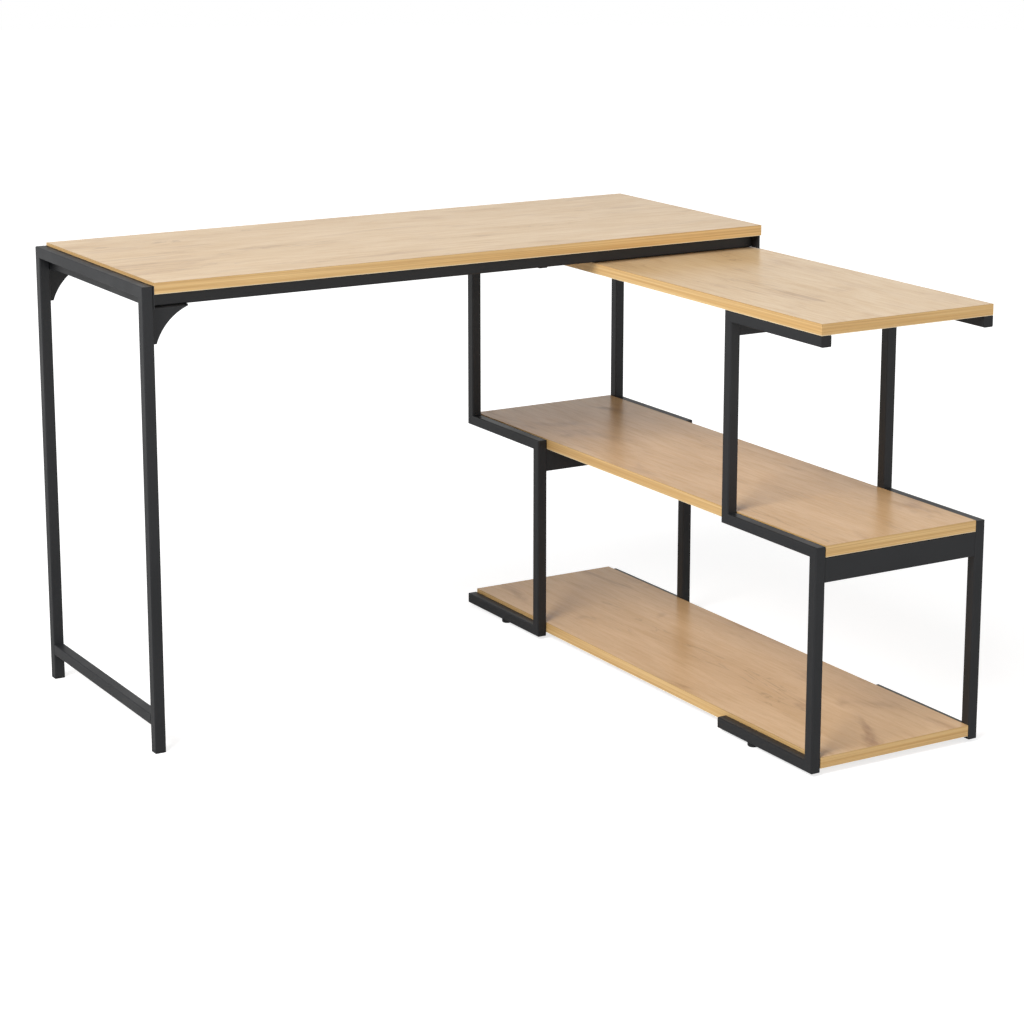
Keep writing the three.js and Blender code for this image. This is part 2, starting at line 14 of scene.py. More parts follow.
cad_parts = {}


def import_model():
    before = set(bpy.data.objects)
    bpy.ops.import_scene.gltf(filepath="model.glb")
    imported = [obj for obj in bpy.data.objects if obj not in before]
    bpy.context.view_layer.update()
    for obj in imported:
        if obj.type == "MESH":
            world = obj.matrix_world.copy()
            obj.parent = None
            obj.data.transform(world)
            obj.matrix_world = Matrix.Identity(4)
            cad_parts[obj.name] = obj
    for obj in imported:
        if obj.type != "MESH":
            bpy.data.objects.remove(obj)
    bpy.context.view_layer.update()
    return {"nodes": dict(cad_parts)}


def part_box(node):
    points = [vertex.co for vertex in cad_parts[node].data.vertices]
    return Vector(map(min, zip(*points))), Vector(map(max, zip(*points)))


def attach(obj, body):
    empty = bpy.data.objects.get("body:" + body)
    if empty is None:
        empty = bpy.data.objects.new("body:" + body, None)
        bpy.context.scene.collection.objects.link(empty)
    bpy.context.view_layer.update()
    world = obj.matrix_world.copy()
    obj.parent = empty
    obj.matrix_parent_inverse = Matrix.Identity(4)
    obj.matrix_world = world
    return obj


log = logging.getLogger("corner_desk")

Colour = tuple[float, float, float, float]
Triple = tuple[float, float, float]
Span = tuple[float, float]

RISING: Span = (0.0, 1.0)
FALLING: Span = (1.0, 0.0)
WHITE: Colour = (1.0, 1.0, 1.0, 1.0)

SCREEN_WHITE = 255
STRAIGHT_PART_END = 0.04045
STRAIGHT_PART_SLOPE = 12.92
CURVE_OFFSET = 0.055
CURVE_POWER = 2.4


def screen_colour(red: int, green: int, blue: int) -> Colour:
    """Turns a colour as a screen shows it into the linear one that a shader takes.

    Args:
        red: Red from 0 to 255.
        green: Green from 0 to 255.
        blue: Blue from 0 to 255.

    Returns:
        The linear colour, fully opaque.
    """

    def linear(value: int) -> float:
        """Undoes the screen's curve for one channel."""
        share = value / SCREEN_WHITE
        if share <= STRAIGHT_PART_END:
            return share / STRAIGHT_PART_SLOPE
        return ((share + CURVE_OFFSET) / (1 + CURVE_OFFSET)) ** CURVE_POWER

    return (linear(red), linear(green), linear(blue), 1.0)


class GrainRun(Enum):
    """The direction that a board's grain runs in, as the turn about Z that lays it along X."""

    ALONG_THE_WING = 0.0
    ALONG_THE_SHELVES = -math.pi / 2


class Slot(Enum):
    """Names of material slots for new pieces."""

    ZINC = "zinc_plated_steel"


class Body(Enum):
    """The bodies that carry new pieces."""

    SHELVES = "shelf_unit"


@dataclass(frozen=True)
class Layer:
    """One layer of noise: its cycles per unit of place, its finer layers, their weight, and its warp."""

    cycles: Triple
    detail: float
    roughness: float = 0.5
    warp: float = 0.0


class Graph:
    """A shader node tree under construction, a material's or a group's."""

    def __init__(self, tree: bpy.types.NodeTree) -> None:
        """Starts on a tree.

        Args:
            tree: The node tree to build in.
        """
        self.tree = tree

    def node(self, kind: str, **settings: object) -> bpy.types.Node:
        """Adds a node.

        Args:
            kind: Blender's name of the node type.
            settings: Properties to set on the node.

        Returns:
            The new node.
        """
        made = self.tree.nodes.new(kind)
        for name, value in settings.items():
            setattr(made, name, value)
        return made

    def feed(self, source: bpy.types.NodeSocket, target: bpy.types.NodeSocket) -> None:
        """Links an output to an input."""
        self.tree.links.new(source, target)

    def place(self) -> bpy.types.NodeSocket:
        """Returns the place on the object, in metres."""
        return self.node("ShaderNodeTexCoord").outputs["Object"]

    def turned(self, place: bpy.types.NodeSocket, turn: float) -> bpy.types.NodeSocket:
        """Turns a place about Z.

        Args:
            place: The place to turn.
            turn: The turn, in radians.

        Returns:
            The turned place.
        """
        made = self.node("ShaderNodeMapping")
        made.inputs["Rotation"].default_value = (0.0, 0.0, turn)
        self.feed(place, made.inputs["Vector"])
        return made.outputs["Vector"]

    def noise(self, place: bpy.types.NodeSocket, layer: Layer) -> bpy.types.NodeSocket:
        """Adds a layer of noise.

        Args:
            place: Where the noise is read.
            layer: The layer.

        Returns:
            The noise's value, about 0 to 1.
        """
        stretched = self.node("ShaderNodeMapping")
        stretched.inputs["Scale"].default_value = layer.cycles
        self.feed(place, stretched.inputs["Vector"])
        made = self.node("ShaderNodeTexNoise")
        made.inputs["Scale"].default_value = 1.0
        made.inputs["Detail"].default_value = layer.detail
        made.inputs["Roughness"].default_value = layer.roughness
        made.inputs["Distortion"].default_value = layer.warp
        self.feed(stretched.outputs["Vector"], made.inputs["Vector"])
        return made.outputs["Fac"]

    def ranged(
        self,
        value: bpy.types.NodeSocket,
        source: Span,
        target: Span = RISING,
    ) -> bpy.types.NodeSocket:
        """Maps a value smoothly from one range to another.

        Args:
            value: The value to map.
            source: The range that is read.
            target: The range that is put out.

        Returns:
            The mapped value.
        """
        made = self.node("ShaderNodeMapRange", interpolation_type="SMOOTHSTEP")
        made.inputs["From Min"].default_value, made.inputs["From Max"].default_value = source
        made.inputs["To Min"].default_value, made.inputs["To Max"].default_value = target
        self.feed(value, made.inputs["Value"])
        return made.outputs["Result"]

    def maths(
        self,
        operation: str,
        first: bpy.types.NodeSocket,
        second: bpy.types.NodeSocket | float = 0.0,
    ) -> bpy.types.NodeSocket:
        """Works out one sum.

        Args:
            operation: Blender's name of the operation.
            first: The first value.
            second: The second value, a socket or a number, where the operation takes two.

        Returns:
            The result.
        """
        made = self.node("ShaderNodeMath", operation=operation)
        self.feed(first, made.inputs[0])
        if isinstance(second, float):
            made.inputs[1].default_value = second
        else:
            self.feed(second, made.inputs[1])
        return made.outputs["Value"]

    def tinted(
        self,
        share: bpy.types.NodeSocket,
        under: bpy.types.NodeSocket | Colour,
        over: Colour,
    ) -> bpy.types.NodeSocket:
        """Lays one colour over another where a mask says.

        Args:
            share: The mask, 0 to 1.
            under: The colour below, a socket or a colour.
            over: The colour on top.

        Returns:
            The mixed colour.
        """
        made = self.node("ShaderNodeMix", data_type="RGBA")
        colours = [socket for socket in made.inputs if socket.type == "RGBA"]
        self.feed(share, made.inputs[0])
        if isinstance(under, tuple):
            colours[0].default_value = under
        else:
            self.feed(under, colours[0])
        colours[1].default_value = over
        return next(socket for socket in made.outputs if socket.type == "RGBA")

    def bumped(self, height: bpy.types.NodeSocket, strength: float, depth: float) -> bpy.types.NodeSocket:
        """Turns a height into a bumped normal.

        Args:
            height: The height, 0 to 1.
            strength: Strength of the bump.
            depth: Depth of a height of 1, in metres.

        Returns:
            The normal.
        """
        made = self.node("ShaderNodeBump")
        made.inputs["Strength"].default_value = strength
        made.inputs["Distance"].default_value = depth
        self.feed(height, made.inputs["Height"])
        return made.outputs["Normal"]


class Effect:
    """A shader node group with named inputs and outputs, built once and placed in each material."""

    inputs: dict[str, str] = {"Place": "NodeSocketVector"}
    outputs: dict[str, str] = {}

    def __init__(self, name: str) -> None:
        """Makes the group and its sockets, and fills it.

        Args:
            name: The group's name.
        """
        self.tree = bpy.data.node_groups.new(name, "ShaderNodeTree")
        for socket, kind in self.inputs.items():
            self.tree.interface.new_socket(socket, in_out="INPUT", socket_type=kind)
        for socket, kind in self.outputs.items():
            self.tree.interface.new_socket(socket, in_out="OUTPUT", socket_type=kind)
        graph = Graph(self.tree)
        self.fill(graph, graph.node("NodeGroupInput").outputs, graph.node("NodeGroupOutput").inputs)

    def fill(
        self,
        graph: Graph,
        given: bpy.types.NodeOutputs,
        wanted: bpy.types.NodeInputs,
    ) -> None:
        """Builds the group's nodes.

        Args:
            graph: The group's tree.
            given: What the group gets.
            wanted: What the group puts out.
        """
        raise NotImplementedError

    def placed(
        self,
        graph: Graph,
        place: bpy.types.NodeSocket,
        **values: float,
    ) -> bpy.types.NodeOutputs:
        """Places the group in a material.

        Args:
            graph: The material's tree.
            place: The place that the group reads.
            values: Values for its other inputs, by their names with underscores.

        Returns:
            The placed group's outputs.
        """
        made = graph.node("ShaderNodeGroup", node_tree=self.tree)
        graph.feed(place, made.inputs["Place"])
        for name, value in values.items():
            made.inputs[name.replace("_", " ").title()].default_value = value
        return made.outputs


class OakGrain(Effect):
    """Oak figure with its grain along X: tone, streaks, brown clouds, dark crack lines and pores."""

    inputs = {"Place": "NodeSocketVector", "Sheet": "NodeSocketFloat"}
    outputs = {
        "Tone": "NodeSocketFloat",
        "Streak": "NodeSocketFloat",
        "Cloud": "NodeSocketFloat",
        "Crack": "NodeSocketFloat",
        "Pore": "NodeSocketFloat",
        "Height": "NodeSocketFloat",
    }
    TONE = Layer(cycles=(1.8, 9.0, 9.0), detail=3.0, roughness=0.6, warp=0.8)
    FIGURE = Layer(cycles=(4.6, 30.0, 30.0), detail=5.0, roughness=0.62, warp=1.1)
    STREAK = Layer(cycles=(13.0, 190.0, 190.0), detail=4.0, roughness=0.68, warp=0.5)
    CLOUD = Layer(cycles=(3.6, 9.5, 9.5), detail=3.0, roughness=0.5, warp=1.6)
    CRACK = Layer(cycles=(3.2, 21.0, 21.0), detail=4.0, roughness=0.6, warp=1.4)
    PORE = Layer(cycles=(90.0, 900.0, 900.0), detail=1.0)
    FIGURE_SHARE = 0.4
    TONE_RANGE = (0.34, 0.66)
    STREAK_RANGE = (0.36, 0.7)
    CLOUD_RANGE = (0.54, 0.74)
    BREAK_RANGE = (0.3, 0.7)
    BREAK_SHARES = (0.45, 1.0)
    CRACK_LEVEL = 0.5
    CRACK_WIDTH = 0.028
    CRACKED_TONES = (0.52, 0.66)
    PORE_RANGE = (0.62, 0.76)
    STREAK_HEIGHT_SHARE = 0.3

    def fill(
        self,
        graph: Graph,
        given: bpy.types.NodeOutputs,
        wanted: bpy.types.NodeInputs,
    ) -> None:
        """Builds the grain.

        Args:
            graph: The group's tree.
            given: What the group gets.
            wanted: What the group puts out.
        """
        moved = graph.node("ShaderNodeVectorMath", operation="ADD")
        graph.feed(given["Place"], moved.inputs[0])
        graph.feed(given["Sheet"], moved.inputs[1])
        place = moved.outputs["Vector"]
        tone = graph.noise(place, self.TONE)
        figure = graph.noise(place, self.FIGURE)
        tone_part = graph.maths("MULTIPLY", tone, 1 - self.FIGURE_SHARE)
        figure_part = graph.maths("MULTIPLY", figure, self.FIGURE_SHARE)
        both = graph.maths("ADD", tone_part, figure_part)
        graph.feed(graph.ranged(both, self.TONE_RANGE), wanted["Tone"])

        streak = graph.ranged(graph.noise(place, self.STREAK), self.STREAK_RANGE)
        graph.feed(streak, wanted["Streak"])

        cloud = graph.ranged(graph.noise(place, self.CLOUD), self.CLOUD_RANGE)
        broken = graph.ranged(figure, self.BREAK_RANGE, self.BREAK_SHARES)
        graph.feed(graph.maths("MULTIPLY", cloud, broken), wanted["Cloud"])

        crack = graph.maths("SUBTRACT", graph.noise(place, self.CRACK), self.CRACK_LEVEL)
        crack = graph.maths("ABSOLUTE", crack)
        crack = graph.ranged(crack, (0.0, self.CRACK_WIDTH), FALLING)
        sparse = graph.ranged(tone, self.CRACKED_TONES)
        graph.feed(graph.maths("MULTIPLY", crack, sparse), wanted["Crack"])

        pore = graph.ranged(graph.noise(place, self.PORE), self.PORE_RANGE)
        graph.feed(pore, wanted["Pore"])
        raised = graph.maths("MULTIPLY", streak, self.STREAK_HEIGHT_SHARE)
        graph.feed(graph.maths("SUBTRACT", raised, pore), wanted["Height"])


class BandGrain(Effect):
    """Edge band grain: level streaks, a mask for the painted highlight along the board's lower arris, and
    a mask for its upper arris.
    """

    inputs = {"Place": "NodeSocketVector", "Low": "NodeSocketFloat", "High": "NodeSocketFloat"}
    outputs = {
        "Streak": "NodeSocketFloat",
        "Tone": "NodeSocketFloat",
        "Low Arris Highlight": "NodeSocketFloat",
        "High Arris": "NodeSocketFloat",
    }
    STREAK = Layer(cycles=(2.5, 2.5, 560.0), detail=3.0, roughness=0.6)
    TONE = Layer(cycles=(1.4, 1.4, 260.0), detail=2.0, roughness=0.5, warp=0.4)
    STREAK_RANGE = (0.36, 0.66)
    TONE_RANGE = (0.35, 0.65)
    LOW_HIGHLIGHT_WIDTH = 0.0011
    HIGH_ARRIS = 0.0008
    FULL_SHARE = 0.5

    def fill(
        self,
        graph: Graph,
        given: bpy.types.NodeOutputs,
        wanted: bpy.types.NodeInputs,
    ) -> None:
        """Builds the band's streaks and arris masks.

        Args:
            graph: The group's tree.
            given: What the group gets.
            wanted: What the group puts out.
        """
        streak = graph.noise(given["Place"], self.STREAK)
        graph.feed(graph.ranged(streak, self.STREAK_RANGE), wanted["Streak"])
        tone = graph.noise(given["Place"], self.TONE)
        graph.feed(graph.ranged(tone, self.TONE_RANGE), wanted["Tone"])
        split = graph.node("ShaderNodeSeparateXYZ")
        graph.feed(given["Place"], split.inputs["Vector"])
        above = graph.maths("SUBTRACT", split.outputs["Z"], given["Low"])
        # The lower arris mask marks where the pale painted highlight goes.
        low_highlight_span = (self.LOW_HIGHLIGHT_WIDTH * self.FULL_SHARE, self.LOW_HIGHLIGHT_WIDTH)
        graph.feed(graph.ranged(above, low_highlight_span, FALLING), wanted["Low Arris Highlight"])
        below = graph.maths("SUBTRACT", given["High"], split.outputs["Z"])
        high_arris = (self.HIGH_ARRIS * self.FULL_SHARE, self.HIGH_ARRIS)
        graph.feed(graph.ranged(below, high_arris, FALLING), wanted["High Arris"])


class CoatTexture(Effect):
    """Fine uneven surface of powder coat or moulded plastic, with a slow drift in its sheen."""

    inputs = {"Place": "NodeSocketVector", "Grain": "NodeSocketFloat"}
    outputs = {"Height": "NodeSocketFloat", "Drift": "NodeSocketFloat"}
    GRAIN = Layer(cycles=(1.0, 1.0, 1.0), detail=2.0, roughness=0.6)
    DRIFT = Layer(cycles=(7.0, 7.0, 7.0), detail=3.0)
    DRIFT_RANGE = (0.35, 0.65)

    def fill(
        self,
        graph: Graph,
        given: bpy.types.NodeOutputs,
        wanted: bpy.types.NodeInputs,
    ) -> None:
        """Builds the texture.

        Args:
            graph: The group's tree.
            given: What the group gets.
            wanted: What the group puts out.
        """
        fine = graph.node("ShaderNodeVectorMath", operation="SCALE")
        graph.feed(given["Place"], fine.inputs[0])
        graph.feed(given["Grain"], fine.inputs["Scale"])
        graph.feed(graph.noise(fine.outputs["Vector"], self.GRAIN), wanted["Height"])
        drift = graph.noise(given["Place"], self.DRIFT)
        graph.feed(graph.ranged(drift, self.DRIFT_RANGE), wanted["Drift"])


@dataclass(frozen=True)
class Effects:
    """The shared shader groups."""

    oak: OakGrain
    band: BandGrain
    coat: CoatTexture


def new_material(name: str) -> tuple[bpy.types.Material, Graph, bpy.types.Node]:
    """Starts a material with a Principled shader.

    Args:
        name: The material's name.

    Returns:
        The material, its graph and its Principled node.
    """
    material = bpy.data.materials.new(name)
    material.use_nodes = True
    return material, Graph(material.node_tree), material.node_tree.nodes["Principled BSDF"]


@dataclass(frozen=True)
class SheetTone:
    """The two broad tones of one sheet of laminate, and the shine of its face."""

    pale: Colour
    middle: Colour
    shine: float


# The same laminate in two copies: the paler tones of the desk and top shelf are painted sheen, and the
# warmer, darker tones of the middle and bottom shelves are painted warm bounce light and shade from the
# boards above; the lower boards also get less shine.
SHEEN_PAINTED_SHEET = SheetTone(pale=screen_colour(220, 191, 150), middle=screen_colour(209, 177, 132), shine=0.6)
WARM_BOUNCE_PAINTED_SHEET = SheetTone(pale=screen_colour(215, 178, 134), middle=screen_colour(200, 161, 113), shine=0.36)


@dataclass(frozen=True)
class Laminate:
    """Satin oak laminate on a board's faces. The sheet's number picks its part of the oak figure."""

    name: str
    run: GrainRun
    sheet: float
    tone: SheetTone
    cloud_share: float
    streak: Colour = screen_colour(182, 140, 93)
    cloud: Colour = screen_colour(158, 115, 73)
    pore: Colour = screen_colour(146, 108, 68)
    streak_share: float = 0.24
    crack_share: float = 0.45
    pore_share: float = 0.24
    matt: float = 0.38
    satin: float = 0.3
    bump: float = 0.25
    relief: float = 0.00003

    def made(self, effects: Effects) -> bpy.types.Material:
        """Builds the material.

        Args:
            effects: The shared shader groups.

        Returns:
            The material.
        """
        material, graph, shader = new_material(self.name)
        grain = effects.oak.placed(graph, graph.turned(graph.place(), self.run.value), sheet=self.sheet)
        colour = graph.tinted(grain["Tone"], self.tone.pale, self.tone.middle)
        for mark, share, over in (
            ("Streak", self.streak_share, self.streak),
            ("Cloud", self.cloud_share, self.cloud),
            ("Crack", self.crack_share, self.pore),
            ("Pore", self.pore_share, self.pore),
        ):
            colour = graph.tinted(graph.maths("MULTIPLY", grain[mark], share), colour, over)
        rough = graph.ranged(grain["Streak"], RISING, (self.satin, self.matt))
        shader.inputs["Specular IOR Level"].default_value = self.tone.shine
        graph.feed(colour, shader.inputs["Base Color"])
        graph.feed(rough, shader.inputs["Roughness"])
        graph.feed(graph.bumped(grain["Height"], self.bump, self.relief), shader.inputs["Normal"])
        return material


@dataclass(frozen=True)
class EdgeBand:
    """Oak edge band, warmer than the boards' faces, with a painted highlight along the lower arris and a
    darker line along the upper one.
    """

    name: str
    low: float
    high: float
    base: Colour = screen_colour(226, 190, 132)
    tone: Colour = screen_colour(212, 171, 110)
    streak: Colour = screen_colour(178, 133, 76)
    painted_highlight_arris: Colour = screen_colour(240, 218, 180)
    dark_arris: Colour = screen_colour(176, 142, 98)
    streak_share: float = 0.5
    dark_arris_share: float = 0.6
    roughness: float = 0.48

    def made(self, effects: Effects) -> bpy.types.Material:
        """Builds the material.

        Args:
            effects: The shared shader groups.

        Returns:
            The material.
        """
        material, graph, shader = new_material(self.name)
        grain = effects.band.placed(graph, graph.place(), low=self.low, high=self.high)
        colour = graph.tinted(grain["Tone"], self.base, self.tone)
        streaks = graph.maths("MULTIPLY", grain["Streak"], self.streak_share)
        colour = graph.tinted(streaks, colour, self.streak)
        # Painted highlight: a pale line along the lower arris.
        colour = graph.tinted(grain["Low Arris Highlight"], colour, self.painted_highlight_arris)
        # A darker line along the upper arris.
        upper_arris_darkening = graph.maths("MULTIPLY", grain["High Arris"], self.dark_arris_share)
        colour = graph.tinted(upper_arris_darkening, colour, self.dark_arris)
        graph.feed(colour, shader.inputs["Base Color"])
        shader.inputs["Roughness"].default_value = self.roughness
        return material


@dataclass(frozen=True)
class Coating:
    """A plain coloured surface with a fine grain, such as powder coat or moulded plastic."""

    name: str
    base: Colour
    drift: Colour
    sheen_range: Span
    shine: float
    grain: float
    relief: float
    bump: float = 0.3

    def made(self, effects: Effects) -> bpy.types.Material:
        """Builds the material.

        Args:
            effects: The shared shader groups.

        Returns:
            The material.
        """
        material, graph, shader = new_material(self.name)
        shader.inputs["Specular IOR Level"].default_value = self.shine
        coat = effects.coat.placed(graph, graph.place(), grain=self.grain)
        graph.feed(graph.tinted(coat["Drift"], self.base, self.drift), shader.inputs["Base Color"])
        graph.feed(graph.ranged(coat["Drift"], RISING, self.sheen_range), shader.inputs["Roughness"])
        graph.feed(graph.bumped(coat["Height"], self.bump, self.relief), shader.inputs["Normal"])
        return material


@dataclass(frozen=True)
class Zinc:
    """Bright zinc plate on screws, bolts, nut and washer."""

    name: str
    base: Colour = screen_colour(196, 198, 200)
    drift: Colour = screen_colour(176, 179, 184)
    sheen_range: Span = (0.26, 0.38)
    height_range: Span = (0.3, 0.7)
    grain: float = 900.0

    def made(self, effects: Effects) -> bpy.types.Material:
        """Builds the material.

        Args:
            effects: The shared shader groups.

        Returns:
            The material.
        """
        material, graph, shader = new_material(self.name)
        shader.inputs["Metallic"].default_value = 1.0
        coat = effects.coat.placed(graph, graph.place(), grain=self.grain)
        graph.feed(graph.tinted(coat["Drift"], self.base, self.drift), shader.inputs["Base Color"])
        rough = graph.ranged(coat["Height"], self.height_range, self.sheen_range)
        graph.feed(rough, shader.inputs["Roughness"])
        return material


DESK_SHEET = Laminate(
    name="desk oak laminate",
    run=GrainRun.ALONG_THE_WING,
    sheet=3.7,
    tone=SHEEN_PAINTED_SHEET,
    cloud_share=0.35,
)
TOP_SHELF_SHEET = Laminate(
    name="top shelf oak laminate",
    run=GrainRun.ALONG_THE_SHELVES,
    sheet=11.3,
    tone=SHEEN_PAINTED_SHEET,
    cloud_share=0.3,
)
MIDDLE_SHELF_SHEET = Laminate(
    name="middle shelf oak laminate",
    run=GrainRun.ALONG_THE_SHELVES,
    sheet=23.1,
    tone=WARM_BOUNCE_PAINTED_SHEET,
    cloud_share=0.85,
)
BOTTOM_SHELF_SHEET = Laminate(
    name="bottom shelf oak laminate",
    run=GrainRun.ALONG_THE_SHELVES,
    sheet=37.9,
    tone=WARM_BOUNCE_PAINTED_SHEET,
    cloud_share=1.0,
)
POWDER_COAT = Coating(
    name="matt anthracite powder coat",
    base=screen_colour(28, 29, 31),
    drift=screen_colour(32, 33, 35),
    sheen_range=(0.4, 0.48),
    shine=0.34,
    grain=1400.0,
    relief=0.00003,
)
BLACK_PLASTIC = Coating(
    name="black moulded plastic",
    base=screen_colour(24, 24, 25),
    drift=screen_colour(29, 29, 30),
    sheen_range=(0.48, 0.58),
    shine=0.3,
    grain=2200.0,
    relief=0.00002,
)
WHITE_NYLON = Coating(
    name="white nylon",
    base=screen_colour(232, 230, 222),
    drift=screen_colour(224, 221, 211),
    sheen_range=(0.38, 0.46),
    shine=0.5,
    grain=700.0,
    relief=0.00001,
)
BRIGHT_ZINC = Zinc("bright zinc")


class Dresser:
    """Gives CAD nodes and new pieces their finishes, and makes each finish once."""

    def __init__(self, nodes: dict[str, bpy.types.Object]) -> None:
        """Builds the shared effects.

        Args:
            nodes: The CAD nodes by name.
        """
        self.nodes = nodes
        self.effects = Effects(
            oak=OakGrain("oak grain"),
            band=BandGrain("edge band grain"),
            coat=CoatTexture("coat texture"),
        )
        self.finished: dict[str, bpy.types.Material] = {}
        self.dressed: set[str] = set()

    def finish(self, finish: Laminate | EdgeBand | Coating | Zinc) -> bpy.types.Material:
        """Finds a finish's material, which is made on first use.

        Args:
            finish: The finish.

        Returns:
            Its material.
        """
        if finish.name not in self.finished:
            self.finished[finish.name] = finish.made(self.effects)
        return self.finished[finish.name]

    def node(self, name: str, finish: Laminate | EdgeBand | Coating | Zinc) -> None:
        """Dresses one CAD node.

        Args:
            name: The node's name.
            finish: Its finish.
        """
        mesh = self.nodes[name].data
        mesh.materials.clear()
        mesh.materials.append(self.finish(finish))
        self.dressed.add(name)

    def board(self, name: str, laminate: Laminate) -> None:
        """Dresses a board and its edge band.

        Args:
            name: The board's name without its ending.
            laminate: The laminate on its faces.
        """
        low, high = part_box(f"{name}_board")
        label = name.replace("_", " ")
        self.node(f"{name}_board", laminate)
        self.node(f"{name}_edge_band", EdgeBand(f"{label} oak edge band", low[2], high[2]))

    def piece(
        self,
        name: str,
        shape: bmesh.types.BMesh,
        finish: Coating | Zinc,
        slot: Slot,
        body: Body,
    ) -> bpy.types.Object:
        """Turns a finished shape into a piece that rides on a body.

        Args:
            name: The piece's name.
            shape: Its shape, in place. It is freed here.
            finish: Its finish.
            slot: The slot named for it; not used.
            body: The body that carries it.

        Returns:
            The new object.
        """
        mesh = bpy.data.meshes.new(name)
        shape.to_mesh(mesh)
        shape.free()
        mesh.materials.append(self.finish(finish))
        made = bpy.data.objects.new(name, mesh)
        bpy.context.collection.objects.link(made)
        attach(made, body.value)
        return made


@dataclass
class PanScrew:
    """A pan head screw that is driven upwards, with a hexagon socket in its head."""

    radius: float = 0.00425
    height: float = 0.0025
    rim: float = 0.0009
    rim_steps: int = 3
    socket_radius: float = 0.0017
    socket_depth: float = 0.0014
    sides: int = 24

    def added(self, shape: bmesh.types.BMesh, seat: Vector) -> None:
        """Adds the screw's head to a shape.

        Args:
            shape: The shape that grows.
            seat: The middle of the face that the head bears on.
        """
        made = bmesh.new()
        bmesh.ops.create_cone(
            made,
            cap_ends=True,
            segments=self.sides,
            radius1=self.radius,
            radius2=self.radius,
            depth=self.height,
        )
        bottom = min(made.faces, key=lambda face: face.calc_center_median().z)
        bmesh.ops.bevel(
            made,
            geom=list(bottom.edges),
            offset=self.rim,
            affect="EDGES",
            segments=self.rim_steps,
            profile=0.5,
            material=-1,
        )
        bottom = min(made.faces, key=lambda face: face.calc_center_median().z)
        wall = self.radius - self.rim - self.socket_radius
        bmesh.ops.inset_region(made, faces=[bottom], thickness=wall, use_even_offset=True)
        self.squared_up(bottom)
        sunk = bmesh.ops.extrude_face_region(made, geom=[bottom])
        moved = [part for part in sunk["geom"] if isinstance(part, bmesh.types.BMVert)]
        bmesh.ops.delete(made, geom=[bottom], context="FACES_ONLY")
        bmesh.ops.translate(made, verts=moved, vec=(0.0, 0.0, self.socket_depth))
        bmesh.ops.translate(made, verts=made.verts, vec=seat - Vector((0.0, 0.0, self.height / 2)))
        bmesh.ops.recalc_face_normals(made, faces=made.faces)
        mesh = bpy.data.meshes.new("screw head")
        made.to_mesh(mesh)
        made.free()
        shape.from_mesh(mesh)
        bpy.data.meshes.remove(mesh)

    def squared_up(self, face: bmesh.types.BMFace) -> None:
        """Pulls a round face's corners on to a hexagon.

        Args:
            face: The face at the socket's mouth.
        """
        sixth = math.pi / 3
        centre = face.calc_center_median()
        for corner in face.verts:
            arm = corner.co - centre
            angle = math.atan2(arm.y, arm.x) % sixth - sixth / 2
            reach = self.socket_radius * math.cos(sixth / 2) / math.cos(angle)
            corner.co = centre + arm.normalized() * reach


@dataclass
class DeskWing:
    """The desk board on its rails, with its leg frame and gusset brackets."""

    dresser: Dresser
    screws: int = 4
    foot_plugs: tuple[str, ...] = ("front_foot_plug", "back_foot_plug")
    steel: tuple[str, ...] = (
        "front_leg",
        "back_leg",
        "leg_end_rail",
        "leg_stretcher",
        "joining_plate",
        "front_rail",
        "back_rail",
        "end_plate",
        "front_gusset",
        "back_gusset",
        "pivot_channel",
    )
    fixings: tuple[str, ...] = (
        "front_bracket_bolt",
        "back_bracket_bolt",
        "pivot_bolt",
        "pivot_washer",
        "pivot_nut",
    )

    def dress(self) -> None:
        """Dresses the wing's CAD nodes."""
        self.dresser.board("desk", DESK_SHEET)
        for name in self.steel:
            self.dresser.node(name, POWDER_COAT)
        for name in self.foot_plugs:
            self.dresser.node(name, BLACK_PLASTIC)
        for name in self.fixings:
            self.dresser.node(name, BRIGHT_ZINC)
        for number in range(1, self.screws + 1):
            self.dresser.node(f"desk_board_screw_{number}", BRIGHT_ZINC)


